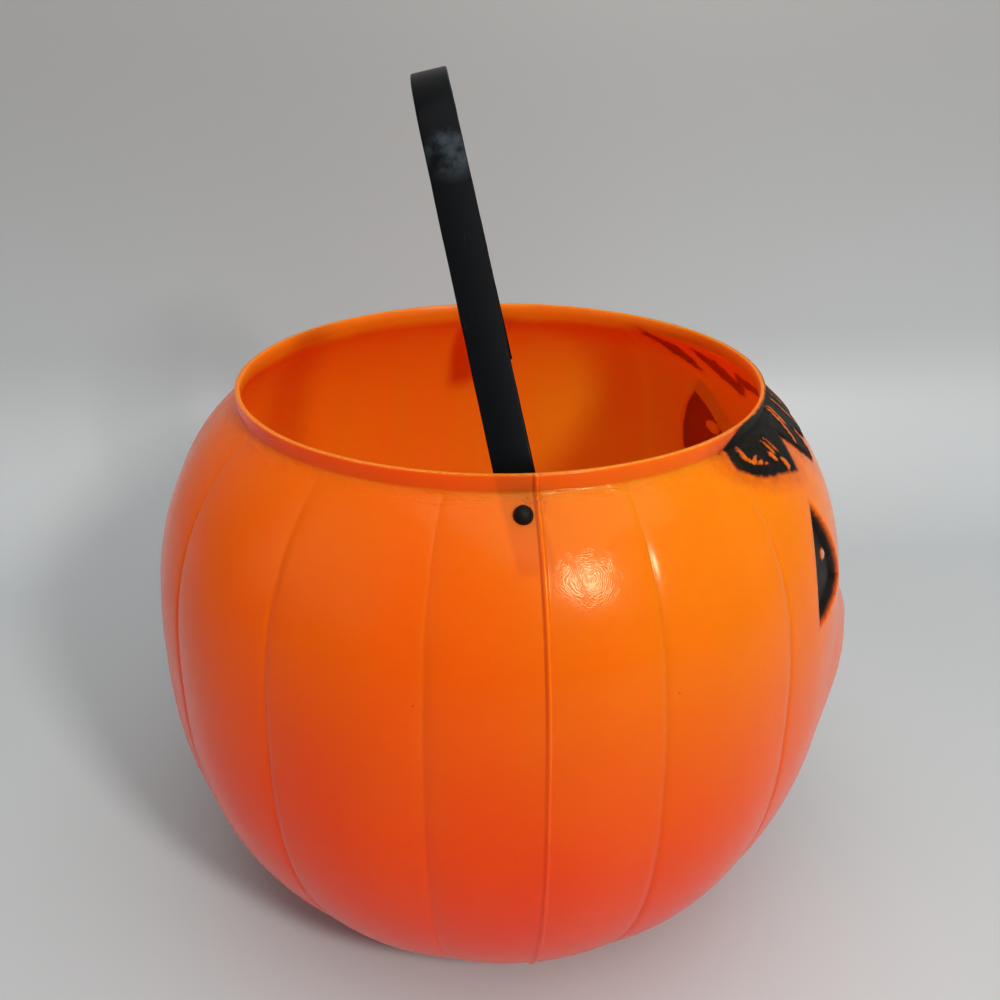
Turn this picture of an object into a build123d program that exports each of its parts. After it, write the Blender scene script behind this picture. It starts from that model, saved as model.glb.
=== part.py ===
"""Jack-o'-lantern candy pail: a blow-moulded shell with a strap handle on two studs.

Millimetres, +Z up. The origin is the middle of the base, on the floor. The face looks
along -Y, and the handle turns about a level line a few degrees off X.
"""
from build123d import *
from math import asin, atan2, cos, hypot, radians, sin, tan
import os

# Pail body: the crown line of the ribs, from the floor to the collar
BELLY_RADIUS = 100.0
BELLY_HEIGHT = 82.0
FOOT_RADIUS = 60.7
BODY_HEIGHT = 155.2
LOWER_FULLNESS = 2.2
UPPER_FULLNESS = 2.8
LEVEL_SHARES = (0, 0.04, 0.1, 0.18, 0.28, 0.4, 0.53, 0.66, 0.77, 0.86, 0.93, 0.97, 1)
WALL = 1.3

# Collar round the mouth
COLLAR_RADIUS = 73.2
COLLAR_HEIGHT = 4.4

# Creases between the ribs, in degrees from the parting line on each side
SEAM_RIB_HALF = 16.5
RIBS_PER_HALF = 6
FACE_RIBS = 4
CREASE_DEPTH = 1.0
CREASE_FADE_SHARE = 0.6

# Flash along the parting line
FLASH_RISE = 0.5
FLASH_THICKNESS = 0.8

# Eyes: three-cornered sunken pans. Their inner corners are placed by a share of the belly's radius,
# their bottoms by a share of the way from belly to collar. Corner shares run out from the inner corner
# and up from the bottom.
EYE_INNER_SHARE = 0.4
EYE_WIDTH = 23.0
EYE_PLACE_SHARE = 0.348
EYE_HEIGHT = 30.0
EYE_DEPTH = 2.5
EYE_INNER_SHARES = (0, 0.08)
EYE_TOP_SHARES = (0.4, 1)
EYE_BULGE_SHARES = (0.83, 0.58)
EYE_OUTER_SHARES = (0.98, 0)
PUPIL_RADIUS = 1.9
PUPIL_RISE = 1.3
PUPIL_SHARES = (0.51, 0.4)

# Nose: a round knob, placed by a share of the belly's height
NOSE_PLACE_SHARE = 0.9
NOSE_RADIUS = 22.0
NOSE_RISE = 12.0

# Mouth: a sunken grin with square teeth, as wide as a share of the belly's radius, its corners placed
# by a share of the belly's height
MOUTH_WIDTH_SHARE = 0.92
MOUTH_PLACE_SHARE = 0.683
MOUTH_LIP_DROP = 13.0
MOUTH_CHIN_DROP = 32.0
MOUTH_DEPTH = 2.5
TOOTH_WIDTH = 10.0
TOOTH_LENGTH = 9.0
UPPER_TEETH_SHARES = (-0.2, 0.2)
LOWER_TEETH_SHARES = (0,)

# Fringe of leaves under the collar. Shares run out from the middle and down from the collar.
FRINGE_WIDTH = 58.0
FRINGE_DROP = 16.0
FRINGE_RAISE = 0.7
LEAF_SHARES = (
    (0, 0.89),
    (0.1, 0.6),
    (0.2, 0.5),
    (0.28, 0.7),
    (0.36, 0.72),
    (0.41, 0.5),
    (0.51, 0.93),
    (0.59, 0.59),
    (0.63, 0.23),
    (0.76, 0.66),
    (0.88, 0.51),
    (0.96, 0.43),
    (1, 0.28),
)

# Handle strap
STRAP_WIDTH = 9.4
STRAP_THICKNESS = 1.8
STRAP_EDGE_RADIUS = 0.5
STRAP_GAP = 2.5
STRAP_TAIL = 12.0
HANDLE_RISE = 87.9
HANDLE_TOP_RADIUS = 30.0
LEG_UPRIGHT = 8.0
LEG_BEND_RADIUS = 14.0
HANDLE_LEAN = 12.3

# Rivet studs, on a line that crosses the parting plane: one stud sits behind it, the other in front
PIVOT_DROP = 3.6
PIVOT_FORWARD = 0.85
PIVOT_TURN = 3.3
HEAD_RADIUS = 2.3
SHANK_RADIUS = 1.5
SHOULDER_LIP = 1.1
TAIL_HEAD_THICKNESS = 1.4
TURNING_CLEARANCE = 0.05
SIDE_CLEARANCE = 0.1

# How far a cutting shape runs past what it cuts
OVERRUN = 5.0

HEIGHT = BODY_HEIGHT + COLLAR_HEIGHT
PIVOT_HEIGHT = BODY_HEIGHT - PIVOT_DROP
EYE_INNER = EYE_INNER_SHARE * BELLY_RADIUS
EYE_BOTTOM = BELLY_HEIGHT + EYE_PLACE_SHARE * (BODY_HEIGHT - BELLY_HEIGHT)
NOSE_HEIGHT = NOSE_PLACE_SHARE * BELLY_HEIGHT
MOUTH_WIDTH = MOUTH_WIDTH_SHARE * BELLY_RADIUS
MOUTH_CORNER_HEIGHT = MOUTH_PLACE_SHARE * BELLY_HEIGHT
SHOULDER_RADIUS = SHANK_RADIUS + SHOULDER_LIP
MOUTH_RADIUS = COLLAR_RADIUS - WALL
ON_FLOOR = (Align.CENTER, Align.CENTER, Align.MIN)


def crown_radius(height):
    """Outer radius of the rib crowns at a height."""
    edge, reach, fullness = body_half(height)
    share = abs(height - BELLY_HEIGHT) / reach
    return BELLY_RADIUS * (1 - (1 - (edge / BELLY_RADIUS) ** fullness) * share**fullness) ** (1 / fullness)


def body_half(height):
    """End radius, reach and fullness of the body above or below its belly."""
    if height < BELLY_HEIGHT:
        return FOOT_RADIUS, BELLY_HEIGHT, LOWER_FULLNESS
    return COLLAR_RADIUS, BODY_HEIGHT - BELLY_HEIGHT, UPPER_FULLNESS


def crown_slope(height):
    """Change of the crown radius with height."""
    edge, reach, fullness = body_half(height)
    rise = (height - BELLY_HEIGHT) / reach
    drop = (1 - (edge / BELLY_RADIUS) ** fullness) * abs(rise) ** (fullness - 1)
    side = -1 if rise > 0 else 1
    return side * drop * BELLY_RADIUS**fullness / (reach * crown_radius(height) ** (fullness - 1))


def wall_point(height, inset):
    """Radius and height of a point set in from the crown line, square to it."""
    slope = crown_slope(height)
    length = hypot(1, slope)
    return crown_radius(height) - inset / length, height + inset * slope / length


def turned_body(inset):
    """Smooth solid of revolution, set in from the crown line all over, its seam at the back."""
    line = [wall_point(share * BODY_HEIGHT, inset) for share in LEVEL_SHARES]
    curve = Spline(*[(0, radius, height) for radius, height in line])
    bottom = (0, 0, line[0][1])
    top = (0, 0, line[-1][1])
    closing = Polyline(curve @ 1, top, bottom, curve @ 0)
    return revolve(make_face([curve, closing]), Axis.Z)


def crease_angles():
    """Creases in order round the pail, counted from +X through the back. The face covers some in front."""
    spread = (180 - 2 * SEAM_RIB_HALF) / RIBS_PER_HALF
    back = [SEAM_RIB_HALF + spread * index for index in range(RIBS_PER_HALF + 1)]
    beside_face = (RIBS_PER_HALF - FACE_RIBS) // 2
    front = [180 + angle for angle in back[: beside_face + 1] + back[-beside_face - 1 :]]
    return back + front


def rib_section(height, inset):
    """Closed outline of the ribs, set in from the body's skin at a height: one arc from crease to crease."""
    radius, level = wall_point(height, inset)
    reach = body_half(height)[1]
    fade = 1 - CREASE_FADE_SHARE * (abs(height - BELLY_HEIGHT) / reach) ** 4
    creased = radius - CREASE_DEPTH * fade
    angles = crease_angles()
    arcs = []
    for start, end in zip(angles, angles[1:] + [angles[0] + 360]):
        turns = ((start, creased), ((start + end) / 2, radius), (end, creased))
        points = [(far * cos(radians(turn)), far * sin(radians(turn)), level) for turn, far in turns]
        arcs.append(ThreePointArc(*points))
    return Wire(arcs)


def ribbed_body(inset):
    """Solid inside the ribbed skin, or inside a skin set in from it."""
    return Solid.make_loft([rib_section(share * BODY_HEIGHT, inset) for share in LEVEL_SHARES])


def cavity():
    """Space inside the shell, with the straight neck through the collar."""
    neck = Cylinder(MOUTH_RADIUS, COLLAR_HEIGHT + 2 * OVERRUN, align=ON_FLOOR)
    return ribbed_body(WALL) + Pos(0, 0, BODY_HEIGHT - OVERRUN) * neck


def front_prism(outline):
    """Bar with a front outline in X and Z that reaches from inside the pail out past the face."""
    sketch = Plane.XZ * outline
    return extrude(sketch, BELLY_RADIUS + NOSE_RISE + OVERRUN)


def eye_outline(side, growth):
    """Three-cornered eye: two straight edges and a bulging outer one."""
    corners = [
        (side * (EYE_INNER + EYE_WIDTH * out), EYE_BOTTOM + EYE_HEIGHT * up)
        for out, up in (EYE_INNER_SHARES, EYE_TOP_SHARES, EYE_BULGE_SHARES, EYE_OUTER_SHARES)
    ]
    inner, top, bulge, outer = corners
    edges = [Line(inner, top), ThreePointArc(top, bulge, outer), Line(outer, inner)]
    return offset(make_face(edges), growth) if growth else make_face(edges)


def mouth_outline(growth):
    """Grin between two arcs from corner to corner, with teeth standing into it."""
    half = MOUTH_WIDTH / 2
    left = (-half, MOUTH_CORNER_HEIGHT)
    right = (half, MOUTH_CORNER_HEIGHT)
    lip = ThreePointArc(left, (0, MOUTH_CORNER_HEIGHT - MOUTH_LIP_DROP), right)
    chin = ThreePointArc(right, (0, MOUTH_CORNER_HEIGHT - MOUTH_CHIN_DROP), left)
    grin = make_face([lip, chin])
    if growth:
        return offset(grin, growth)
    tooth = Rectangle(TOOTH_WIDTH, 2 * TOOTH_LENGTH)
    for share in UPPER_TEETH_SHARES:
        place = share * MOUTH_WIDTH
        grin -= Pos(place, arc_height(place, MOUTH_LIP_DROP)) * tooth
    for share in LOWER_TEETH_SHARES:
        place = share * MOUTH_WIDTH
        grin -= Pos(place, arc_height(place, MOUTH_CHIN_DROP)) * tooth
    return grin


def arc_height(across, drop):
    """Height of a mouth arc of a given drop at a distance from the middle."""
    half = MOUTH_WIDTH / 2
    radius = (half**2 + drop**2) / (2 * drop)
    return MOUTH_CORNER_HEIGHT - drop + radius - (radius**2 - across**2) ** 0.5


def pupil_outline(side):
    out, up = PUPIL_SHARES
    return Pos(side * (EYE_INNER + EYE_WIDTH * out), EYE_BOTTOM + EYE_HEIGHT * up) * Circle(PUPIL_RADIUS)


def fringe_outline():
    """Saw-toothed leaf edge, alike on both sides of the middle."""
    half = [(out * FRINGE_WIDTH, BODY_HEIGHT - down * FRINGE_DROP) for out, down in LEAF_SHARES]
    mirrored = [(-across, height) for across, height in reversed(half[1:])]
    leaves = mirrored + half
    top = [(FRINGE_WIDTH, BODY_HEIGHT), (-FRINGE_WIDTH, BODY_HEIGHT)]
    return make_face(Polyline(*leaves, *top, close=True))


def nose_ball(inset):
    """Sphere whose cap stands out of the face by the nose's rise."""
    radius = (NOSE_RADIUS**2 + NOSE_RISE**2) / (2 * NOSE_RISE)
    return Pos(0, radius - crown_radius(NOSE_HEIGHT) - NOSE_RISE, NOSE_HEIGHT) * Sphere(radius - inset)


def flash():
    """Thin fin that stands out along the parting line on both sides."""
    skin = turned_body(-FLASH_RISE) - turned_body(WALL / 2)
    slab = Box(2 * (BELLY_RADIUS + OVERRUN), FLASH_THICKNESS, HEIGHT, align=ON_FLOOR)
    return skin & slab


def collar():
    ring = Cylinder(COLLAR_RADIUS, COLLAR_HEIGHT + WALL, align=ON_FLOOR)
    return Pos(0, 0, BODY_HEIGHT - WALL) * ring


def pail_shell():
    """Shell with its collar, parting flash and face."""
    fringe_layer = turned_body(-FRINGE_RAISE) - turned_body(WALL / 2)
    body = ribbed_body(0) + flash() + collar() + (front_prism(fringe_outline()) & fringe_layer) + nose_ball(0)
    hollow = cavity() + nose_ball(WALL)
    pans = [(eye_outline(side, 0), eye_outline(side, WALL), EYE_DEPTH) for side in (-1, 1)]
    pans.append((mouth_outline(0), mouth_outline(WALL), MOUTH_DEPTH))
    pockets = []
    for outline, backing, depth in pans:
        hollow -= front_prism(backing) - turned_body(depth + WALL)
        pockets.append(front_prism(outline) - turned_body(depth))
    shell = body - hollow
    for pocket in pockets:
        shell -= pocket
    for side in (-1, 1):
        post = front_prism(pupil_outline(side)) & turned_body(EYE_DEPTH - PUPIL_RISE)
        shell += post - turned_body(EYE_DEPTH + WALL / 2)
    return shell - along_pivot(1, SHANK_RADIUS, -BELLY_RADIUS, BELLY_RADIUS)


def strap_outside():
    """Distance from the middle to the strap's outer face beside the stud."""
    return MOUTH_RADIUS - STRAP_GAP


def handle_strap():
    """Strap bent into an arch: upright ends, leaning legs and a round top."""
    across = strap_outside() - STRAP_THICKNESS / 2
    top_rise = HANDLE_RISE - HANDLE_TOP_RADIUS - LEG_UPRIGHT
    lean = atan2(across, top_rise) - asin(HANDLE_TOP_RADIUS / hypot(across, top_rise))
    legs_meet = LEG_UPRIGHT + across / tan(lean)
    route = [
        (-across, 0, -STRAP_TAIL),
        (-across, 0, LEG_UPRIGHT),
        (0, 0, legs_meet),
        (across, 0, LEG_UPRIGHT),
        (across, 0, -STRAP_TAIL),
    ]
    path = FilletPolyline(*route, radius=[LEG_BEND_RADIUS, HANDLE_TOP_RADIUS, LEG_BEND_RADIUS])
    section = Plane(origin=route[0], x_dir=(0, 1, 0), z_dir=(0, 0, 1)) * RectangleRounded(
        STRAP_WIDTH, STRAP_THICKNESS, STRAP_EDGE_RADIUS
    )
    strap = sweep(section, path=path).rotate(Axis.X, -HANDLE_LEAN)
    return pivot_line(1) * strap - along_pivot(1, SHANK_RADIUS + TURNING_CLEARANCE, -MOUTH_RADIUS, MOUTH_RADIUS)


def pivot_line(side):
    """Place of the pivot line's middle, with X along the line towards the stud on one side."""
    about = -PIVOT_TURN if side > 0 else 180 - PIVOT_TURN
    return Pos(0, -PIVOT_FORWARD, PIVOT_HEIGHT) * Rot(0, 0, about)


def along_pivot(side, radius, start, end):
    """Round bar on the pivot line between two distances from its middle."""
    bar = Cylinder(radius, end - start, align=ON_FLOOR)
    return pivot_line(side) * Pos(start, 0, 0) * Rot(0, 90, 0) * bar


def rivet(side):
    """Stud with a domed head on the wall, a shoulder inside it and a tail head that keeps the strap on."""
    turn = radians(PIVOT_TURN)
    reach = (crown_radius(PIVOT_HEIGHT) ** 2 - (PIVOT_FORWARD * cos(turn)) ** 2) ** 0.5
    head_middle = reach - side * PIVOT_FORWARD * sin(turn)
    strap_inside = strap_outside() - STRAP_THICKNESS
    tail_end = strap_inside - SIDE_CLEARANCE - TAIL_HEAD_THICKNESS
    head = pivot_line(side) * Pos(head_middle, 0, 0) * Sphere(HEAD_RADIUS) - ribbed_body(0) - flash()
    shank = along_pivot(side, SHANK_RADIUS, tail_end, head_middle)
    shoulder = along_pivot(side, SHOULDER_RADIUS, strap_outside() + SIDE_CLEARANCE, head_middle) & cavity()
    tail_head = along_pivot(side, SHOULDER_RADIUS, tail_end, strap_inside - SIDE_CLEARANCE)
    return head + shank + shoulder + tail_head


os.makedirs("parts", exist_ok=True)
nodes = {
    "pail_shell": pail_shell(),
    "handle_strap": handle_strap(),
    "right_rivet": rivet(1),
    "left_rivet": rivet(-1),
}
for name, solid in nodes.items():
    solid.label = name
    export_step(solid, f"parts/{name}.step")
    print(name, round(solid.volume), "mm3")
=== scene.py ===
"""Jack-o'-lantern candy pail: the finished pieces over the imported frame.

Metres, +Z up, the same frame as the solids. The face looks along -Y, and the camera sees
the parting line at -X.
"""
from math import asin, atan2, cos, hypot, pi, radians, sin, tan

import bpy
import numpy as np
from mathutils import Matrix, Vector


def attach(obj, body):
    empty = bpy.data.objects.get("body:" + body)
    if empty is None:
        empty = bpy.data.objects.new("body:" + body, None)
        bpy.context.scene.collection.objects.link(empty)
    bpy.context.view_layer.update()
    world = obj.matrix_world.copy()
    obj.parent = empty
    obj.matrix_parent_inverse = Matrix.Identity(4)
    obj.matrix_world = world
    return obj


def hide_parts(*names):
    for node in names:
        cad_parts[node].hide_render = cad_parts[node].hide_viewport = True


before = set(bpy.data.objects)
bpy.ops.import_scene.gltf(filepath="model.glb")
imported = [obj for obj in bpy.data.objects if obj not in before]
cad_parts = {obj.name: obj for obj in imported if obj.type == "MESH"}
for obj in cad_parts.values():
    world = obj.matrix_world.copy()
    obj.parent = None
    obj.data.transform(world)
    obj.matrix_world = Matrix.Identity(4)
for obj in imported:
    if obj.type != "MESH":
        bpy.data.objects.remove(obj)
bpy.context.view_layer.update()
scene = bpy.context.scene
scene.view_settings.view_transform = "Standard"

# Pail body
BELLY_RADIUS = 0.1
BELLY_HEIGHT = 0.082
FOOT_RADIUS = 0.0607
BODY_HEIGHT = 0.1552
LOWER_FULLNESS = 2.2
UPPER_FULLNESS = 2.8
WALL = 0.0013
BASE_THICKNESS = 0.00105
COLLAR_RADIUS = 0.0732
COLLAR_HEIGHT = 0.0044
HEIGHT = BODY_HEIGHT + COLLAR_HEIGHT
MOUTH_RADIUS = COLLAR_RADIUS - WALL
TRIM_START = BODY_HEIGHT + 0.0042

# Ribs, in degrees from the parting line
SEAM_RIB_HALF = 16.5
RIB_SPREAD = 24.5
FACE_EDGE = SEAM_RIB_HALF + RIB_SPREAD

# Columns of the shell, in degrees
COLUMN_STEP = 3.2
FACE_SPAN = (222, 318)
FACE_STEP = 0.47
CREASE_FAN = (-1.4, -0.5, -0.2, 0, 0.2, 0.5, 1.4)
SEAM_FAN = (-1.2, -0.6, -0.36, -0.24, -0.13, 0, 0.13, 0.24, 0.36, 0.6, 1.2)
LEAST_STEP = 0.085

# Rows of the shell: runs of start, end and count in millimetres
OUTER_ROWS = ((0, 22, 8), (22, 59, 46), (59, 101, 18), (101, 137, 49), (137, 155.2, 27))
INNER_ROWS = ((0, 22, 5), (22, 59, 17), (59, 101, 9), (101, 137, 26), (137, 155.2, 14))

# Face
EYE_INNER = 0.04
EYE_WIDTH = 0.023
EYE_BOTTOM = 0.10747
EYE_HEIGHT = 0.03
EYE_CORNERS = ((0, 0.08), (0.4, 1), (0.83, 0.58), (0.98, 0))
PUPIL_PLACE = (0.37, 0.47)
PUPIL_RADIUS = 0.0014
PUPIL_RISE = 0.0006
PAN_DEPTH = 0.0025
PAN_WALL = 0.0012
SETTLE_REACH = 0.00034
NOSE_HEIGHT = 0.0738
NOSE_RADIUS = 0.022
NOSE_TIP = 0.003
SWELL_HEIGHT = 0.0783
SWELL_HALF_WIDTH = 0.0573
SWELL_HALF_HEIGHT = 0.031
SWELL_RISE = 0.0069
MOUTH_WIDTH = 0.092
MOUTH_CORNER_HEIGHT = 0.056
MOUTH_LIP_DROP = 0.013
MOUTH_CHIN_DROP = 0.032
TOOTH_WIDTH = 0.01
TOOTH_LENGTH = 0.009
TOOTH_DRAFT = 1e-6
UPPER_TEETH = (-0.2 * MOUTH_WIDTH, 0.2 * MOUTH_WIDTH)
FAR = 1.0

# Leaf fringe, as shares of its half width and of its drop from the collar's foot
FRINGE_WIDTH = 0.058
FRINGE_DROP = 0.016
FRINGE_TOP = HEIGHT - 0.0006
FRINGE_COLLAR_SHARE = 0.96
FRINGE_RIM_SHARE = 0.85
FRINGE_RAISE = 0.0007
LEAF_RISE = FRINGE_RAISE * 0.7
STROKE_RISE = FRINGE_RAISE * 0.45
LEAVES = (
    ((0, 0.89), (0.1, 0.6), (0.2, 0.5), (0.28, 0.7), (0.36, 0.72), (0.41, 0.5), (0.51, 0.93))
    + ((0.59, 0.59), (0.63, 0.23), (0.76, 0.66), (0.88, 0.51), (0.96, 0.43), (1, 0.28))
)

# Brush strokes: share across, share down and half width in millimetres
STROKES = (
    ((0.957, 0.0, 0.5), (0.991, 0.106, 0.6), (1.017, 0.21, 0.3)),
    ((0.907, 0.05, 0.3), (0.941, 0.175, 0.5), (0.941, 0.25, 0.6), (0.893, 0.35, 0.4)),
    ((0.914, 0.206, 0.3), (0.888, 0.24, 0.3)),
    ((0.784, 0.15, 0.3), (0.8, 0.31, 0.4)),
    ((0.755, 0.14, 0.3), (0.772, 0.325, 0.4)),
    ((0.828, 0.306, 0.8), (0.833, 0.375, 0.6)),
    ((0.8, 0.46, 0.9), (0.81, 0.55, 0.7)),
    ((0.474, 0.04, 0.4), (0.534, 0.31, 0.6), (0.578, 0.49, 0.4)),
    ((0.44, 0.025, 0.3), (0.49, 0.275, 0.5)),
    ((0.45, 0.45, 0.4), (0.5, 0.8, 0.3)),
    ((0.31, 0.08, 0.3), (0.33, 0.3, 0.5), (0.32, 0.58, 0.3)),
    ((0.22, 0.06, 0.3), (0.21, 0.3, 0.4)),
    ((0.1, 0.1, 0.3), (0.07, 0.36, 0.5), (0.02, 0.72, 0.3)),
)
# Shapes of the far fringe as painted shade on the inner wall: share across, share down and half
# width in millimetres
TUFTS = (
    ((0.862, 0.075, 0.6), (0.81, 0.356, 2.4), (0.762, 0.662, 0.6)),
    ((0.626, 0.225, 0.7), (0.569, 0.575, 2.6), (0.512, 0.931, 0.8), (0.407, 0.531, 0.7)),
    ((0.407, 0.606, 1.4), (0.276, 0.694, 0.7)),
    ((0.1, 0.5, 0.8), (0.0, 0.8, 1.4), (-0.1, 0.5, 0.8)),
)

# Handle and studs
STRAP_WIDTH = 0.0094
STRAP_THICKNESS = 0.0018
STRAP_EDGE_RADIUS = 0.0005
STRAP_OUTSIDE = MOUTH_RADIUS - 0.0025
STRAP_INSIDE = STRAP_OUTSIDE - STRAP_THICKNESS
STRAP_TAIL = 0.012
HANDLE_RISE = 0.0879
HANDLE_TOP_RADIUS = 0.03
LEG_UPRIGHT = 0.008
LEG_BEND_RADIUS = 0.014
HANDLE_LEAN = 12.3
PIVOT = Vector((0, -0.00085, 0.1516))
PIVOT_TURN = 3.3
HEAD_RADIUS = 0.0023
SHANK_RADIUS = 0.0015
SHOULDER_RADIUS = 0.0026
NECK_START = 0.0027
NECK_END = 0.0043
SHOULDER_START = 0.0052
STUD_PLAY = 0.0001
TAIL_EDGE = 0.0011
TAIL_END = 0.0015
TAIL_CHAMFER = 0.0005
TAIL_MIDDLE = 0.0002
DOME_TURNS = (0.05, 2.2, 14)
STUD_SIDES = 40

# Spots that carry marks of use, and the middle of the strap's painted highlight
FINGER_MARK = (-0.0873, -0.0106, 0.14)
STUD_GRIME = (-0.0765, 0.0016, 0.1545)
STRAP_HIGHLIGHT_SPOT = (-0.0255, 0.0145, 0.222)
BUMP_DISTANCE = 0.0002

# Studio
SWEEP_FRONT = -1.6
SWEEP_HALF_WIDTH = 3.0
SWEEP_TOP = 1.6
CURVE_START = 0.17
CURVE_RADIUS = 0.09
FLOOR_HALF = 8
FLOOR_LEVEL = -0.0005
AIR_COLOUR = (0.9, 0.92, 0.95, 1)
AIR_LIGHT = 0.22
AIR_SEEN = 0.2
CAMERA_PLACE = (-0.2901, 0.0328, 0.2561)
CAMERA_DOWN = radians(25.16)
CAMERA_ASIDE = radians(6.45)
CAMERA_LENS = 38.96
CAMERA_SENSOR = 36.0


# Node helpers


def put(tree, kind, values=(), **settings):
    """Adds a node, sets its options, and fills its inputs with numbers or links."""
    node = tree.nodes.new(kind)
    for key, value in settings.items():
        setattr(node, key, value)
    for key, value in values.items() if isinstance(values, dict) else enumerate(values):
        if isinstance(value, bpy.types.NodeSocket):
            tree.links.new(value, node.inputs[key])
        else:
            node.inputs[key].default_value = value
    return node


def reckon(tree, operation, *values):
    return put(tree, "ShaderNodeMath", values, operation=operation).outputs[0]


def times(tree, value, *others):
    for other in others:
        value = reckon(tree, "MULTIPLY", value, other)
    return value


def ease(tree, value, start, end, low=0.0, high=1.0):
    """Smooth step from low at start to high at end."""
    values = (value, start, end, low, high)
    return put(tree, "ShaderNodeMapRange", values, interpolation_type="SMOOTHSTEP").outputs[0]


def apart(tree, place):
    """The X, Y and Z of a place."""
    return put(tree, "ShaderNodeSeparateXYZ", (place,)).outputs


def distance_to(tree, place, spot):
    return put(tree, "ShaderNodeVectorMath", (place, spot), operation="DISTANCE").outputs["Value"]


def blend_colours(tree, share, first, second):
    values = {0: share, 6: first, 7: second}
    return put(tree, "ShaderNodeMix", values, data_type="RGBA").outputs[2]


def noise(tree, place, scale, detail=2.0, roughness=0.5):
    values = {"Vector": place, "Scale": scale, "Detail": detail, "Roughness": roughness}
    return put(tree, "ShaderNodeTexNoise", values).outputs["Fac"]


def named(tree, name):
    """A mesh layer, in a material."""
    return put(tree, "ShaderNodeAttribute", attribute_name=name).outputs["Fac"]


def layer(tree, name):
    """A mesh layer, in a geometry tree."""
    values = {"Name": name}
    return put(tree, "GeometryNodeInputNamedAttribute", values, data_type="FLOAT").outputs[0]


def coat(tree, geometry, finish):
    """Plain smooth mesh with its material."""
    whole = put(tree, "GeometryNodeRealizeInstances", {0: geometry}).outputs[0]
    shaded = put(tree, "GeometryNodeSetShadeSmooth", {0: whole}).outputs[0]
    return put(tree, "GeometryNodeSetMaterial", {"Geometry": shaded, "Material": finish}).outputs[0]


def new_group(name, kind, inputs, outputs):
    """Node group with named sockets, and its two end nodes."""
    tree = bpy.data.node_groups.new(name, kind)
    for label, socket, value in inputs:
        made = tree.interface.new_socket(label, in_out="INPUT", socket_type=socket)
        if value is not None:
            made.default_value = value
    for label, socket in outputs:
        tree.interface.new_socket(label, in_out="OUTPUT", socket_type=socket)
    return tree, tree.nodes.new("NodeGroupInput"), tree.nodes.new("NodeGroupOutput")


def place_group(tree, group, **values):
    sockets = {name.title(): value for name, value in values.items()}
    return put(tree, "ShaderNodeGroup", sockets, node_tree=group).outputs


def new_material(name):
    material = bpy.data.materials.new(name)
    material.use_nodes = True
    tree = material.node_tree
    shader = tree.nodes["Principled BSDF"]
    place = put(tree, "ShaderNodeTexCoord").outputs["Object"]
    return material, tree, shader, place


def srgb(text):
    """Linear colour of a written one."""
    parts = [int(text[index : index + 2], 16) / 255 for index in (0, 2, 4)]
    linear = [((part + 0.055) / 1.055) ** 2.4 if part > 0.04 else part / 12.92 for part in parts]
    return (*linear, 1)


def dress(tree, shader, colour, rough, height, bumps, gloss):
    """Colour, roughness, fine bumps and gloss of a plastic."""
    tree.links.new(colour, shader.inputs["Base Color"])
    tree.links.new(rough, shader.inputs["Roughness"])
    values = {"Height": height, "Strength": bumps, "Distance": BUMP_DISTANCE}
    tree.links.new(put(tree, "ShaderNodeBump", values).outputs[0], shader.inputs["Normal"])
    shader.inputs["Specular IOR Level"].default_value = gloss


# Shared finish groups


def handling_marks():
    """Broad tone changes, fine rubbed patches, hair scratches and specks of handled plastic."""
    tree, start, end = new_group(
        "handling_marks",
        "ShaderNodeTree",
        [("Place", "NodeSocketVector", None), ("Size", "NodeSocketFloat", 1.0)],
        [(name, "NodeSocketFloat") for name in ("Tone", "Rub", "Scratch", "Speck", "Grain")],
    )
    sized = {0: start.outputs["Place"], "Scale": start.outputs["Size"]}
    place = put(tree, "ShaderNodeVectorMath", sized, operation="SCALE").outputs[0]
    slant = {"Vector": place, "Rotation": (0.5, 0.3, 0.9), "Scale": (60, 900, 60)}
    streak = noise(tree, put(tree, "ShaderNodeMapping", slant).outputs[0], 3.0, 2.0)
    patch = ease(tree, noise(tree, place, 38.0, 2.0), 0.55, 0.7)
    spaced = {"Vector": place, "Scale": 130.0}
    cells = put(tree, "ShaderNodeTexVoronoi", spaced, feature="F1").outputs
    drawn = put(tree, "ShaderNodeSeparateColor", (cells["Color"],)).outputs[0]
    chosen = reckon(tree, "GREATER_THAN", drawn, 0.9)
    marks = {
        "Tone": noise(tree, place, 22.0, 3.0),
        "Rub": ease(tree, noise(tree, place, 95.0, 6.0, 0.62), 0.52, 0.74),
        "Scratch": times(tree, ease(tree, streak, 0.66, 0.72), patch),
        "Speck": times(tree, ease(tree, cells["Distance"], 0.035, 0.02), chosen),
        "Grain": noise(tree, place, 900.0, 3.0),
    }
    for name, socket in marks.items():
        tree.links.new(socket, end.inputs[name])
    return tree


def airbrush():
    """Coverage of sprayed paint from the distance to its stencil: a solid film and a dusty edge."""
    tree, start, end = new_group(
        "airbrush",
        "ShaderNodeTree",
        [
            ("Place", "NodeSocketVector", None),
            ("Distance", "NodeSocketFloat", 1.0),
            ("Edge", "NodeSocketFloat", 0.0),
            ("Softness", "NodeSocketFloat", 0.001),
            ("Drift", "NodeSocketFloat", 0.004),
            ("Haze", "NodeSocketFloat", 0.4),
            ("Wander", "NodeSocketFloat", 0.0008),
        ],
        [("Film", "NodeSocketFloat"), ("Dust", "NodeSocketFloat")],
    )
    given = start.outputs
    swing = noise(tree, given["Place"], 420.0, 3.0)
    swing = reckon(tree, "MULTIPLY_ADD", swing, 2.0, -1.0)
    far = reckon(tree, "ADD", given["Distance"], times(tree, swing, given["Wander"]))
    far = reckon(tree, "SUBTRACT", far, given["Edge"])
    mist = noise(tree, given["Place"], 260.0, 4.0, 0.6)
    dust = times(tree, ease(tree, far, given["Drift"], 0.0), given["Haze"], mist)
    tree.links.new(ease(tree, far, given["Softness"], 0.0), end.inputs["Film"])
    tree.links.new(dust, end.inputs["Dust"])
    return tree


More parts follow.
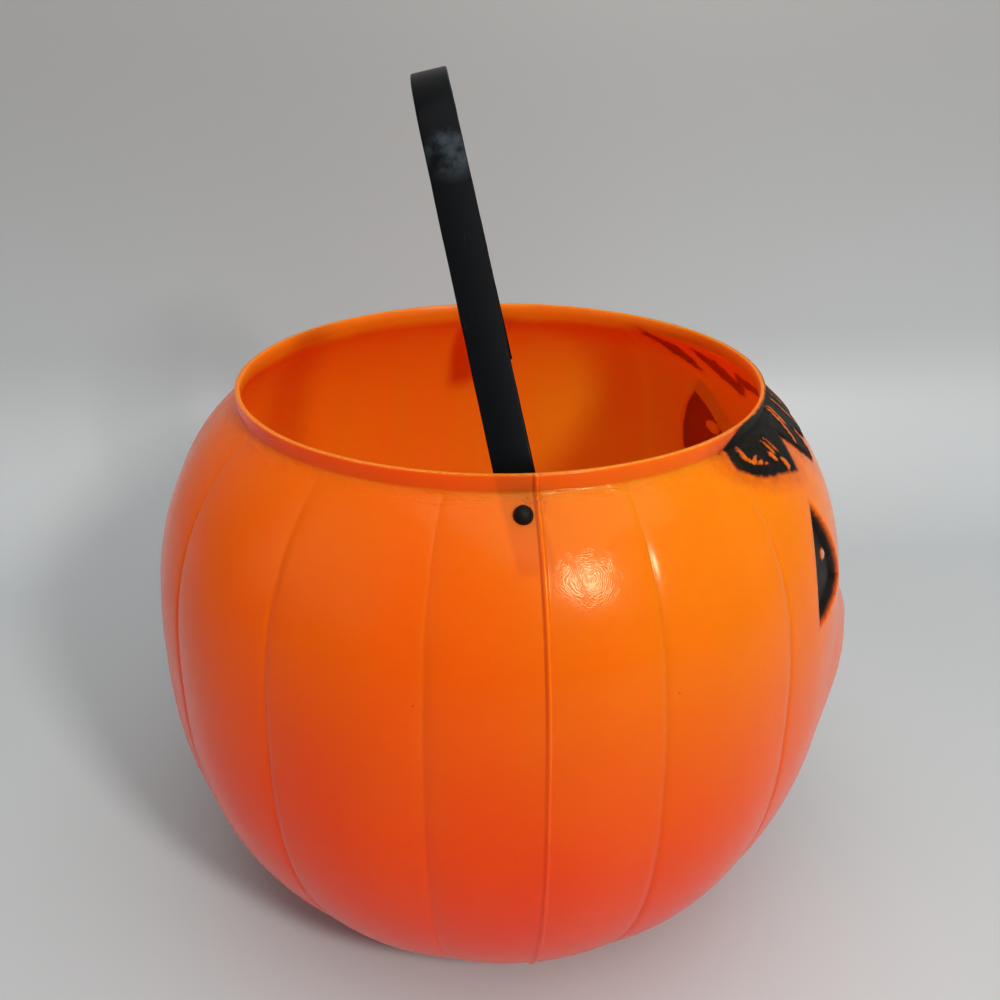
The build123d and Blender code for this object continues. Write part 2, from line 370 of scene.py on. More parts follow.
MARKS = handling_marks()
AIRBRUSH = airbrush()


def sprayed(tree, place, edge_layer, **values):
    """Paint sprayed through the stencil whose distance is in a mesh layer."""
    distance = named(tree, edge_layer)
    return place_group(tree, AIRBRUSH, place=place, distance=distance, **values)


# Materials


def orange_with_painted_light(tree, place, tone, deep, light):
    """Plastic colour: painted light at the shoulder and face, painted shade at foot and back; deep
    collar.
    """
    parts = apart(tree, place)
    # Painted light: lighter up towards the shoulder, painted shade down at the foot.
    share = ease(tree, parts["Z"], 0.02, 0.17)
    # Painted light: lighter towards the face side (-Y), painted shade towards the back.
    share = times(tree, share, ease(tree, parts["Y"], 0.04, -0.06, 0.55, 1.0))
    # Deeper on the collar.
    share = times(tree, share, ease(tree, parts["Z"], 0.1556, 0.155, 0.52, 1.0))
    share = reckon(tree, "MULTIPLY_ADD", reckon(tree, "SUBTRACT", tone, 0.5), 0.3, share)
    return blend_colours(tree, share, deep, light)


def let_light_in(shader):
    """Light soaks into the thin orange wall and comes out redder."""
    shader.inputs["Subsurface Weight"].default_value = 0.9
    shader.inputs["Subsurface Radius"].default_value = (1.0, 0.34, 0.08)
    shader.inputs["Subsurface Scale"].default_value = 0.01


def grime_and_painted_shade(tree, place, marks):
    """Grime by the stud, painted shade by the parting flash, and the strap's end as a painted
    shadow through the wall.
    """
    across, along, level = apart(tree, place)
    # Painted shade: a thin dark line on the +Y side of the parting flash, stronger towards the
    # collar.
    line = reckon(tree, "ABSOLUTE", reckon(tree, "SUBTRACT", along, 0.0008))
    line = ease(tree, line, 0.0005, 0.0001)
    line = times(tree, line, ease(tree, level, 0.07, 0.15, 0.12, 0.6))
    smear = ease(tree, distance_to(tree, place, STUD_GRIME), 0.0055, 0.001)
    smear = times(tree, smear, ease(tree, marks["Grain"], 0.35, 0.65, 0.1, 0.6))
    # Painted shadow of the strap's end, seen through the wall below each stud.
    middle = reckon(tree, "MULTIPLY_ADD", reckon(tree, "SIGN", across), -0.0042, -0.0006)
    above = reckon(tree, "SUBTRACT", level, PIVOT.z)
    slant = reckon(tree, "MULTIPLY_ADD", above, 0.22, middle)
    beside = reckon(tree, "ABSOLUTE", reckon(tree, "SUBTRACT", along, slant))
    strap_end_shadow = ease(tree, beside, 0.0052, 0.0034)
    strap_end_shadow = times(tree, strap_end_shadow, ease(tree, level, 0.1402, 0.1428, 0.0, 0.22))
    # Stud grime together with painted shade and painted shadow.
    grime_and_shade_mask = reckon(tree, "MAXIMUM", reckon(tree, "MAXIMUM", line, smear), strap_end_shadow)
    return times(tree, grime_and_shade_mask, ease(tree, reckon(tree, "ABSOLUTE", across), 0.03, 0.05))


def finger_mark(tree, place):
    """Height of a greasy finger print on the near shoulder: fine bent ridges in broken patches."""
    offset = put(tree, "ShaderNodeVectorMath", (place, FINGER_MARK), operation="SUBTRACT")
    cloudy = {"Vector": place, "Scale": 170.0, "Detail": 3.0}
    cloud = put(tree, "ShaderNodeTexNoise", cloudy).outputs["Color"]
    pull = put(tree, "ShaderNodeVectorMath", (cloud, (0.5,) * 3), operation="SUBTRACT").outputs[0]
    bend = (pull, (0.006,) * 3, offset.outputs[0])
    bent = put(tree, "ShaderNodeVectorMath", bend, operation="MULTIPLY_ADD").outputs[0]
    ridged = {"Vector": bent, "Scale": 600.0, "Distortion": 2.5, "Detail": 2.0, "Detail Scale": 1.5}
    waves = put(tree, "ShaderNodeTexWave", ridged, wave_type="RINGS", rings_direction="SPHERICAL")
    broken = ease(tree, noise(tree, place, 330.0, 3.0), 0.32, 0.52)
    away = distance_to(tree, place, FINGER_MARK)
    edge = reckon(tree, "MULTIPLY_ADD", noise(tree, place, 240.0), 0.006, away)
    return times(tree, waves.outputs["Fac"], broken, ease(tree, edge, 0.0135, 0.008, 0.0, 0.2))


def neck_marks(tree, place):
    """Height of the wavy drag marks that the mould leaves just under the collar."""
    level = apart(tree, place)["Z"]
    flat = put(tree, "ShaderNodeMapping", {"Vector": place, "Scale": (1, 1, 4)}).outputs[0]
    waves = ease(tree, noise(tree, flat, 210.0, 3.0), 0.42, 0.7, 0.0, 3.0)
    band = times(tree, ease(tree, level, 0.1518, 0.1538), ease(tree, level, 0.1556, 0.1551))
    return times(tree, waves, band)


def outside_plastic():
    """Glossy orange polyethylene with the sprayed face, finger marks, scuffs, specks, grime and
    painted light.
    """
    material, tree, shader, place = new_material("pail_outside_plastic")
    marks = place_group(tree, MARKS, place=place)
    # Orange with painted light and shade that follow its height and side.
    colour = orange_with_painted_light(tree, place, marks["Tone"], srgb("E43002"), srgb("F17703"))
    colour = blend_colours(tree, times(tree, marks["Speck"], 0.7), colour, srgb("5A2408"))
    colour = blend_colours(tree, times(tree, marks["Rub"], 0.015), colour, srgb("FFA040"))
    # Painted highlight: pale orange along the trimmed rim's top edge, broken up by grain.
    trimmed = times(tree, named(tree, "rim"), ease(tree, marks["Grain"], 0.3, 0.6, 0.1, 0.5))
    colour = blend_colours(tree, trimmed, colour, srgb("FFA040"))
    pan_paint = dict(edge=-0.0007, softness=0.0009, drift=0.0022, haze=0.9, wander=0.0001)
    pans = sprayed(tree, place, "pan_edge", **pan_paint)
    leaves = sprayed(tree, place, "leaf_edge", softness=0.0012, drift=0.0065, haze=0.9)
    worn = reckon(tree, "MULTIPLY_ADD", marks["Grain"], 0.0008, named(tree, "stroke_edge"))
    bare = ease(tree, worn, 0.0006, 0.0001)
    film = reckon(tree, "MAXIMUM", pans["Film"], leaves["Film"])
    film = times(tree, film, reckon(tree, "MULTIPLY_ADD", bare, -0.95, 1.0))
    dust = reckon(tree, "MAXIMUM", pans["Dust"], leaves["Dust"])
    # Painted highlight: the raised pupils get a pale beige-grey over their orange.
    pupil = ease(tree, named(tree, "pupil_edge"), 0.0001, -0.0004)
    colour = blend_colours(tree, dust, colour, srgb("4A1A10"))
    colour = blend_colours(tree, film, colour, srgb("020203"))
    colour = blend_colours(tree, pupil, colour, srgb("A08874"))
    # Grime by the stud, painted shade by the parting flash and the painted shadow of the strap's
    # end.
    colour = blend_colours(tree, grime_and_painted_shade(tree, place, marks), colour, srgb("5A2A14"))
    rough = reckon(tree, "MULTIPLY_ADD", marks["Rub"], 0.05, 0.21)
    rough = reckon(tree, "MULTIPLY_ADD", film, 0.3, rough)
    height = times(tree, marks["Scratch"], -0.8)
    height = reckon(tree, "MULTIPLY_ADD", marks["Grain"], 0.25, height)
    height = reckon(tree, "ADD", height, finger_mark(tree, place))
    height = reckon(tree, "ADD", height, neck_marks(tree, place))
    dress(tree, shader, colour, rough, height, 0.35, 0.19)
    shader.inputs["Specular Tint"].default_value = (1, 0.82, 0.5, 1)
    let_light_in(shader)
    return material


def inside_plastic():
    """Satin inner wall, deeper in colour, with painted light, and the sprayed face showing through
    as a painted dull-red shade.
    """
    material, tree, shader, place = new_material("pail_inside_plastic")
    marks = place_group(tree, MARKS, place=place, size=0.8)
    # Inner orange with painted light and shade that follow its height and side.
    colour = orange_with_painted_light(tree, place, marks["Tone"], srgb("FA6808"), srgb("FE760A"))
    parts = apart(tree, place)
    # Painted light: the inner wall turns lighter and yellower towards the face side, below the rim.
    painted_glow = ease(tree, parts["Y"], 0.02, -0.07, 0.0, 0.7)
    painted_glow = times(tree, painted_glow, ease(tree, parts["Z"], 0.152, 0.142))
    colour = blend_colours(tree, painted_glow, colour, srgb("FFA01A"))
    # Painted shade: where the sprayed face blocks light through the wall, the inner wall turns a
    # dull red with a dusty edge.
    pan_paint = dict(edge=-0.0016, softness=0.0008, drift=0.003, haze=0.5, wander=0.0003)
    pans = sprayed(tree, place, "pan_edge", **pan_paint)
    tuft_paint = dict(edge=0.0003, softness=0.0014, drift=0.004, haze=0.5)
    tufts = sprayed(tree, place, "tuft_edge", **tuft_paint)
    shade = times(tree, reckon(tree, "MAXIMUM", pans["Film"], tufts["Film"]), 0.85)
    dust = reckon(tree, "MAXIMUM", pans["Dust"], tufts["Dust"])
    colour = blend_colours(tree, dust, colour, srgb("A83004"))
    colour = blend_colours(tree, shade, colour, srgb("701402"))
    rough = reckon(tree, "MULTIPLY_ADD", marks["Rub"], 0.12, 0.42)
    dress(tree, shader, colour, rough, marks["Grain"], 0.2, 0.2)
    let_light_in(shader)
    return material


def strap_plastic():
    """Black satin strap with a large painted highlight near the top, grey specks and scratches."""
    material, tree, shader, place = new_material("strap_plastic")
    marks = place_group(tree, MARKS, place=place, size=1.6)
    # Painted highlight: a broad mottled grey-blue patch near the strap's top, also rougher there.
    away = distance_to(tree, place, STRAP_HIGHLIGHT_SPOT)
    painted_highlight = ease(tree, noise(tree, place, 150.0, 5.0, 0.6), 0.35, 0.75)
    painted_highlight = times(tree, painted_highlight, ease(tree, away, 0.009, 0.002, 0.0, 0.45))
    colour = blend_colours(tree, marks["Tone"], srgb("020304"), srgb("060709"))
    colour = blend_colours(tree, painted_highlight, colour, srgb("5E6C74"))
    colour = blend_colours(tree, times(tree, marks["Scratch"], 0.25), colour, srgb("565A5C"))
    colour = blend_colours(tree, times(tree, marks["Speck"], 0.4), colour, srgb("8A8A88"))
    rough = reckon(tree, "MULTIPLY_ADD", painted_highlight, 0.2, 0.34)
    height = times(tree, marks["Scratch"], -0.6)
    height = reckon(tree, "MULTIPLY_ADD", marks["Grain"], 0.4, height)
    dress(tree, shader, colour, rough, height, 0.3, 0.06)
    return material


def stud_plastic():
    """Dull black stud with a dusty, slightly rough dome."""
    material, tree, shader, place = new_material("stud_plastic")
    marks = place_group(tree, MARKS, place=place, size=3.0)
    colour = blend_colours(tree, marks["Rub"], srgb("080401"), srgb("1C1008"))
    rough = reckon(tree, "MULTIPLY_ADD", marks["Tone"], 0.3, 0.42)
    dress(tree, shader, colour, rough, marks["Grain"], 0.5, 0.15)
    return material


# Outlines on the face, in X and Z


def arc_through(first, middle, last, count):
    """Points on the circle through three points, from the first to the last."""
    (ax, ay), (bx, by), (cx, cy) = first, middle, last
    twice = 2 * (ax * (by - cy) + bx * (cy - ay) + cx * (ay - by))
    squares = (ax * ax + ay * ay, bx * bx + by * by, cx * cx + cy * cy)
    ux = (squares[0] * (by - cy) + squares[1] * (cy - ay) + squares[2] * (ay - by)) / twice
    uy = (squares[0] * (cx - bx) + squares[1] * (ax - cx) + squares[2] * (bx - ax)) / twice
    turns = np.unwrap([atan2(y - uy, x - ux) for x, y in (first, middle, last)])
    steps = np.linspace(turns[0], turns[2], count)
    radius = hypot(ax - ux, ay - uy)
    return [(ux + radius * cos(step), uy + radius * sin(step)) for step in steps]


def eye_outline(side):
    corners = [
        (side * (EYE_INNER + EYE_WIDTH * out), EYE_BOTTOM + EYE_HEIGHT * up)
        for out, up in EYE_CORNERS
    ]
    return np.array([corners[0]] + arc_through(*corners[1:], 14))


def lip_height(across, drop):
    half = MOUTH_WIDTH / 2
    radius = (half**2 + drop**2) / (2 * drop)
    return MOUTH_CORNER_HEIGHT - drop + radius - (radius**2 - across**2) ** 0.5


def toothed_line(drop, teeth, way):
    """One lip from corner to corner, stepping round its teeth."""
    places = list(np.linspace(-MOUTH_WIDTH / 2, MOUTH_WIDTH / 2, 41))
    for middle in teeth:
        places = [place for place in places if abs(place - middle) > TOOTH_WIDTH / 2]
    points = [(place, lip_height(place, drop)) for place in places]
    for middle in teeth:
        tip = lip_height(middle, drop) + way * TOOTH_LENGTH
        for side in (-1, 1):
            edge = middle + side * TOOTH_WIDTH / 2
            points += [(edge, lip_height(edge, drop)), (edge - side * TOOTH_DRAFT, tip)]
    return sorted(points)


def mouth_outline():
    lip = toothed_line(MOUTH_LIP_DROP, UPPER_TEETH, -1)
    chin = toothed_line(MOUTH_CHIN_DROP, (0,), 1)
    return np.array(lip + chin[::-1][1:-1])


def fringe_outline():
    half = [(out * FRINGE_WIDTH, BODY_HEIGHT - down * FRINGE_DROP) for out, down in LEAVES]
    half.append((FRINGE_COLLAR_SHARE * FRINGE_WIDTH, BODY_HEIGHT))
    half.append((FRINGE_RIM_SHARE * FRINGE_WIDTH, FRINGE_TOP))
    mirrored = [(-across, height) for across, height in reversed(half[1:])]
    return np.array(mirrored + half)


def from_outline(points, outline):
    """Signed distance to a closed outline, inside below zero, and the nearest places on it."""
    run = np.roll(outline, -1, axis=0) - outline
    share = ((points[:, None] - outline) * run).sum(2) / (run**2).sum(1)
    near = outline + np.clip(share, 0, 1)[..., None] * run
    gap = np.linalg.norm(points[:, None] - near, axis=2)
    pick = gap.argmin(1)
    rows = np.arange(len(points))
    low = outline[:, 1] <= points[:, None, 1]
    crossed = low != np.roll(low, -1, axis=1)
    steep = np.where(np.abs(run[:, 1]) < 1e-9, 1e-9, run[:, 1])
    meet = outline[:, 0] + (points[:, None, 1] - outline[:, 1]) / steep * run[:, 0]
    inside = (crossed & (points[:, None, 0] < meet)).sum(1) % 2 == 1
    return np.where(inside, -1, 1) * gap[rows, pick], near[rows, pick]


def from_strokes(points, strokes):
    """Signed distance to the nearest of some tapered brush strokes, alike on both sides."""
    far = np.full(len(points), FAR)
    for side in (-1, 1):
        for stroke in strokes:
            out, down, half = np.array(stroke).T
            line = np.stack([side * out * FRINGE_WIDTH, BODY_HEIGHT - down * FRINGE_DROP], axis=1)
            half = half / 1000
            for index, start in enumerate(line[:-1]):
                run = line[index + 1] - start
                share = np.clip(((points - start) @ run) / (run @ run), 0, 1)
                gap = np.linalg.norm(points - start - share[:, None] * run, axis=1)
                taper = share * (half[index + 1] - half[index])
                far = np.minimum(far, gap - half[index] - taper)
    return far


def smooth(value, start, end):
    share = np.clip((value - start) / (end - start), 0, 1)
    return share * share * (3 - 2 * share)


# Pail shell


def crown(height):
    """Outer radius of the rib crowns at heights."""
    upper = height > BELLY_HEIGHT
    edge = np.where(upper, COLLAR_RADIUS, FOOT_RADIUS)
    reach = np.where(upper, BODY_HEIGHT - BELLY_HEIGHT, BELLY_HEIGHT)
    power = np.where(upper, UPPER_FULLNESS, LOWER_FULLNESS)
    share = np.abs(height - BELLY_HEIGHT) / reach
    return BELLY_RADIUS * (1 - (1 - (edge / BELLY_RADIUS) ** power) * share**power) ** (1 / power)


def wall_normal(height):
    """Outward direction of the crown line at heights, as shares along the radius and up."""
    step = 1e-5
    slope = (crown(height + step) - crown(height - step)) / (2 * step)
    length = np.hypot(1, slope)
    return 1 / length, -slope / length


def column_turns():
    """Turns of the shell's columns: close together on the face, at creases and at the seams."""
    turns = [np.arange(0, 360, COLUMN_STEP), np.arange(*FACE_SPAN, FACE_STEP)]
    creases = [SEAM_RIB_HALF + RIB_SPREAD * index for index in range(7)]
    creases += [180 + turn for turn in creases[:2] + creases[-2:]]
    turns += [crease + np.array(CREASE_FAN) for crease in creases]
    turns += [seam + np.array(SEAM_FAN) for seam in (0, 180)]
    turns = np.sort(np.concatenate(turns) % 360)
    keep = np.diff(turns, append=turns[0] + 360) > LEAST_STEP
    return turns[keep]


def row_heights(runs):
    return np.unique(np.concatenate([np.linspace(*run) for run in runs])) / 1000


def shell_rows():
    """Rows from the base's middle up the outside, over the rim and down the inside.

    Each has a radius, a height, a kind (-1 base, 0 collar, 1 body) and 1 if it is inside.
    """
    rows = [(share * FOOT_RADIUS, 0, -1, 0) for share in (0.2, 0.45, 0.7, 0.88, 0.97)]
    rows += [(0, height, 1, 0) for height in row_heights(OUTER_ROWS)[:-1]]
    collar = [(0, up) for up in (0, 0.0003, 0.0012, 0.0024, 0.0036, 0.0041)] + [(-0.0001, 0.0043)]
    rows += [(COLLAR_RADIUS + out, BODY_HEIGHT + up, 0, 0) for out, up in collar]
    rim = [(-0.0004, 0.0044), (-0.0009, 0.0044), (-0.0012, 0.0043)]
    rim += [(-0.0013, up) for up in (0.004, 0.002, 0.0004)]
    rows += [(COLLAR_RADIUS + out, BODY_HEIGHT + up, 0, 1) for out, up in rim]
    rows += [(0, height, 1, 1) for height in row_heights(INNER_ROWS)[-2::-1]]
    rows += [(share * FOOT_RADIUS, 0, -1, 1) for share in (0.95, 0.8, 0.55, 0.3)]
    return np.array(rows, dtype=float)


def settle_on_edges(points, outlines):
    """Moves grid points that lie near an outline, or near the foot of its wall, onto it."""
    for outline in outlines:
        far, near = from_outline(points, outline)
        safe = np.where(np.abs(far) < 1e-9, 1e-9, far)
        outward = (points - near) / safe[:, None]
        for goal in (0, -PAN_WALL):
            close = np.abs(far - goal) < SETTLE_REACH
            points[close] += ((goal - far)[:, None] * outward)[close]
    return points


def on_front(turn):
    return np.sin(turn) < -0.05


def nose_rise(points):
    """How far the face's broad swelling, and the nose's tip on it, push the wall out."""
    across, height = points.T
    swell = (across / SWELL_HALF_WIDTH) ** 2 + ((height - SWELL_HEIGHT) / SWELL_HALF_HEIGHT) ** 2
    tip = (across**2 + (height - NOSE_HEIGHT) ** 2) / NOSE_RADIUS**2
    return SWELL_RISE * np.clip(1 - swell, 0, 1) ** 2 + NOSE_TIP * np.clip(1 - tip, 0, 1) ** 1.5


def face_relief(points, pans, grown):
    """Depth of the face's relief at points, and their distances to what is sprayed there."""
    pan = np.minimum.reduce([from_outline(points, outline)[0] for outline in pans])
    out = EYE_INNER + EYE_WIDTH * PUPIL_PLACE[0]
    above = points[:, 1] - EYE_BOTTOM - EYE_HEIGHT * PUPIL_PLACE[1]
    pupil = np.minimum.reduce([np.hypot(points[:, 0] - side * out, above) for side in (-1, 1)])
    leaf = from_outline(points, fringe_outline())[0]
    stroke = from_strokes(points, STROKES)
    depth = PAN_DEPTH * smooth(pan - grown, 0.0001, -0.0013)
    depth -= PUPIL_RISE * smooth(pupil, PUPIL_RADIUS + 0.0003, PUPIL_RADIUS - 0.0005)
    lift = LEAF_RISE * smooth(leaf, 0.0003, -0.0006) + STROKE_RISE * smooth(stroke, 0.0004, -0.0003)
    paint = {
        "pan_edge": np.maximum(pan, PUPIL_RADIUS - pupil),
        "leaf_edge": leaf,
        "stroke_edge": stroke,
        "tuft_edge": from_strokes(points, TUFTS),
        "pupil_edge": pupil - PUPIL_RADIUS,
    }
    return depth - lift, paint


def sheet_faces(row_count, count):
    """Faces of a closed sheet of rings, with a middle point after them for either end."""
    ring = np.arange(count)
    after = (ring + 1) % count
    band = np.stack([ring, after, after + count, ring + count], axis=1)
    quads = np.concatenate([band + row * count for row in range(row_count - 1)])
    bottom = row_count * count
    last = bottom - count
    first_cap = np.stack([np.full(count, bottom), after, ring], axis=1)
    last_cap = np.stack([np.full(count, bottom + 1), last + ring, last + after], axis=1)
    return quads.tolist() + first_cap.tolist() + last_cap.tolist()


def pail_mesh():
    """Closed sheet of the turned pail with its face, and the distances that its paint follows."""
    turns = np.radians(column_turns())
    rows = shell_rows()
    count = len(turns)
    row_radius, height, kind, inner = (np.repeat(column, count) for column in rows.T)
    turn = np.tile(turns, len(rows))
    body = kind == 1
    base = kind == -1
    inset = np.where(inner == 1, WALL, 0)
    front = on_front(turn)

    pans = [eye_outline(-1), eye_outline(1), mouth_outline()]
    move = body & front & (inner == 0)
    spot = np.stack([crown(height[move]) * np.cos(turn[move]), height[move]], axis=1)
    spot = settle_on_edges(spot, pans)
    height[move] = spot[:, 1]
    turn[move] = 2 * pi - np.arccos(np.clip(spot[:, 0] / crown(spot[:, 1]), -1, 1))

    out, up = wall_normal(height)
    radius = np.where(body, crown(height) - inset * out, row_radius)
    level = np.where(body, height - inset * up, height + np.where(base, inner * BASE_THICKNESS, 0))
    points = np.stack([radius * np.cos(turn), height], axis=1)

    shown = front & (kind >= 0)
    depth, paint = face_relief(points[shown], pans, inner[shown] * WALL)
    sunk = np.zeros(len(turn))
    sunk[shown] = np.where(body[shown], depth, 0)
    radius = radius - sunk * out + np.where(body & front, nose_rise(points), 0)
    level = level - sunk * up
    place = np.stack([radius * np.cos(turn), radius * np.sin(turn), level], axis=1)

    poles = np.array([[0, 0, 0], [0, 0, BASE_THICKNESS]])
    mesh = bpy.data.meshes.new("pail_sheet")
    corners = np.concatenate([place, poles]).tolist()
    mesh.from_pydata(corners, [], sheet_faces(len(rows), count))

    layers = {}
    for name, values in paint.items():
        whole = np.full(len(turn), FAR)
        whole[shown] = values
        layers[name] = (whole, FAR, FAR)
    ribbed = np.where(body, 1.0, np.where(base, row_radius / FOOT_RADIUS, 0.0))
    layers["ribbed"] = (ribbed, 0, 0)
    layers["inner"] = (inner, 0, 1)
    layers["rim"] = ((kind == 0) & (height > TRIM_START), 0, 0)
    for name, (values, *ends) in layers.items():
        made = mesh.attributes.new(name, "FLOAT", "POINT")
        made.data.foreach_set("value", np.append(values, ends).astype(np.float32))
    return mesh


def moulding_tree():
    """Presses the ribs' creases, the parting flash and the trimmed rim into the turned sheet."""
    tree, start, end = new_group(
        "pail_moulding",
        "GeometryNodeTree",
        [
            ("Geometry", "NodeSocketGeometry", None),
            ("Crease Depth", "NodeSocketFloat", 0.0),
            ("Groove Depth", "NodeSocketFloat", 0.0),
            ("Groove Width", "NodeSocketFloat", 0.001),
            ("Flash Rise", "NodeSocketFloat", 0.0),
            ("Flash Half", "NodeSocketFloat", 0.001),
            ("Rim Wave", "NodeSocketFloat", 0.0),
            ("Outside", "NodeSocketMaterial", None),
            ("Inside", "NodeSocketMaterial", None),
        ],
        [("Geometry", "NodeSocketGeometry")],
    )
    size = start.outputs

    def choose(flag, other, chosen):
        return put(tree, "GeometryNodeSwitch", (flag, other, chosen), input_type="FLOAT").outputs[0]

    inner = layer(tree, "inner")
    outer = reckon(tree, "SUBTRACT", 1.0, inner)
    place = put(tree, "GeometryNodeInputPosition").outputs[0]
    across, along, height = apart(tree, place)
    radius = reckon(tree, "MULTIPLY_ADD", across, across, times(tree, along, along))
    radius = reckon(tree, "SQRT", radius)
    turn = reckon(tree, "DEGREES", reckon(tree, "ARCTAN2", along, across))
    aside = reckon(tree, "SUBTRACT", 90.0, reckon(tree, "ABSOLUTE", turn))
    aside = reckon(tree, "SUBTRACT", 90.0, reckon(tree, "ABSOLUTE", aside))

    # Share of the way from a rib's crown to its crease, and the rib's half width in degrees
    rib = reckon(tree, "DIVIDE", reckon(tree, "SUBTRACT", aside, SEAM_RIB_HALF), RIB_SPREAD)
    off_middle = reckon(tree, "SUBTRACT", reckon(tree, "FRACT", rib), 0.5)
    side_share = times(tree, reckon(tree, "ABSOLUTE", off_middle), 2.0)
    seam_share = reckon(tree, "DIVIDE", aside, SEAM_RIB_HALF)
    face_share = reckon(tree, "SUBTRACT", 90.0, aside)
    face_share = reckon(tree, "DIVIDE", face_share, 90.0 - FACE_EDGE)
    on_seam = reckon(tree, "LESS_THAN", aside, SEAM_RIB_HALF)
    on_face = reckon(tree, "GREATER_THAN", aside, FACE_EDGE)
    on_face = times(tree, on_face, reckon(tree, "LESS_THAN", along, 0.0))
    share = choose(on_face, choose(on_seam, side_share, seam_share), face_share)
    half = choose(on_face, choose(on_seam, RIB_SPREAD / 2, SEAM_RIB_HALF), 90.0 - FACE_EDGE)

    # Hollow between crowns with a fine groove in it, fading towards the foot and the collar
    upper = reckon(tree, "GREATER_THAN", height, BELLY_HEIGHT)
    reach = choose(upper, BELLY_HEIGHT, BODY_HEIGHT - BELLY_HEIGHT)
    rise = reckon(tree, "ABSOLUTE", reckon(tree, "SUBTRACT", height, BELLY_HEIGHT))
    rise = reckon(tree, "POWER", reckon(tree, "DIVIDE", rise, reach), 4.0)
    fade = reckon(tree, "MULTIPLY_ADD", rise, -0.6, 1.0)
    rounded = reckon(tree, "COSINE", times(tree, share, pi))
    rounded = reckon(tree, "MULTIPLY_ADD", rounded, -0.5, 0.5)
    bowl = choose(inner, times(tree, share, share), rounded)
    hollow = times(tree, bowl, size["Crease Depth"])
    arc = times(tree, reckon(tree, "SUBTRACT", 1.0, share), half)
    arc = times(tree, reckon(tree, "RADIANS", arc), radius)
    groove = times(tree, ease(tree, arc, size["Groove Width"], 0.0), size["Groove Depth"], outer)
    press = times(tree, reckon(tree, "ADD", hollow, groove), fade, layer(tree, "ribbed"))

    # Flash along the parting line, of uneven height
    narrow = times(tree, size["Flash Half"], 0.3)
    ridge = ease(tree, reckon(tree, "ABSOLUTE", along), size["Flash Half"], narrow)
    wander = reckon(tree, "MULTIPLY_ADD", noise(tree, place, 130.0, 2.0), 0.8, 0.4)
    flash = times(tree, ridge, size["Flash Rise"], outer, wander)

    push = reckon(tree, "SUBTRACT", flash, press)
    sideways = put(tree, "ShaderNodeCombineXYZ", (across, along, 0.0)).outputs[0]
    outward = put(tree, "ShaderNodeVectorMath", (sideways,), operation="NORMALIZE").outputs[0]
    scaled = {0: outward, "Scale": push}
    shift = put(tree, "ShaderNodeVectorMath", scaled, operation="SCALE").outputs[0]
    drop = times(tree, noise(tree, place, 45.0, 4.0), size["Rim Wave"], layer(tree, "rim"), -1.0)
    lower = put(tree, "ShaderNodeCombineXYZ", (0.0, 0.0, drop)).outputs[0]
    offset = put(tree, "ShaderNodeVectorMath", (shift, lower), operation="ADD").outputs[0]
    shifted = {"Geometry": size["Geometry"], "Offset": offset}
    coated = coat(tree, put(tree, "GeometryNodeSetPosition", shifted).outputs[0], size["Outside"])
    lining = reckon(tree, "GREATER_THAN", inner, 0.99)
    lined = {"Geometry": coated, "Selection": lining, "Material": size["Inside"]}
    tree.links.new(put(tree, "GeometryNodeSetMaterial", lined).outputs[0], end.inputs[0])
    return tree


def run_tree(name, mesh, tree, **values):
    """Runs a tree on a mesh and keeps the result as a plain mesh object."""
    source = bpy.data.objects.new(name + "_source", mesh)
    scene.collection.objects.link(source)
    modifier = source.modifiers.new("make", "NODES")
    modifier.node_group = tree
    for item in tree.interface.items_tree:
        key = item.name.replace(" ", "_").lower()
        if item.in_out == "INPUT" and key in values:
            modifier[item.identifier] = values[key]
    evaluated = source.evaluated_get(bpy.context.evaluated_depsgraph_get())
    made = bpy.data.meshes.new_from_object(evaluated)
    made.name = name
    bpy.data.objects.remove(source)
    piece = bpy.data.objects.new(name, made)
    scene.collection.objects.link(piece)
    return piece


def make_pail():
    piece = run_tree(
        "pail",
        pail_mesh(),
        moulding_tree(),
        crease_depth=0.001,
        groove_depth=0.0003,
        groove_width=0.0011,
        flash_rise=0.0008,
        flash_half=0.0006,
        rim_wave=0.0004,
        outside=outside_plastic(),
        inside=inside_plastic(),
    )
    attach(piece, "pail")
    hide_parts("pail_shell")


# Handle


